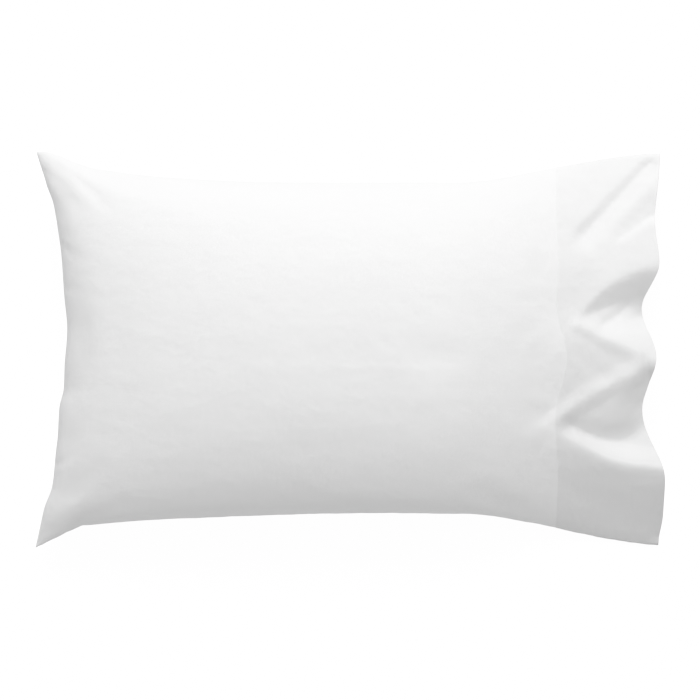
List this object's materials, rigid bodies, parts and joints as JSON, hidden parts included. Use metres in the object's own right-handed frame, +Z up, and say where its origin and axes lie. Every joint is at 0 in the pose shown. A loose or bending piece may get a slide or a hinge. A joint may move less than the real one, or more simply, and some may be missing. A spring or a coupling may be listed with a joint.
{
  "type": "pillowcase",
  "caption": "White cotton pillowcase over its pillow, lying on its back, with a full crown, a sewn end with pointed corners and a wide open hem in soft folds.",
  "frame": {"origin": "on the surface the pillow rests on, under the middle of its box", "axes": "+X from the sewn end to the open hem, +Y across to the side seam that is higher at the hem, +Z up out of the face"},
  "size_m": [0.799, 0.5, 0.1756],
  "materials": {
    "white_cotton": "matt plain-woven cotton"
  },
  "bodies": {
    "root": {"pillowcase": "white_cotton"}
  },
  "joints": []
}
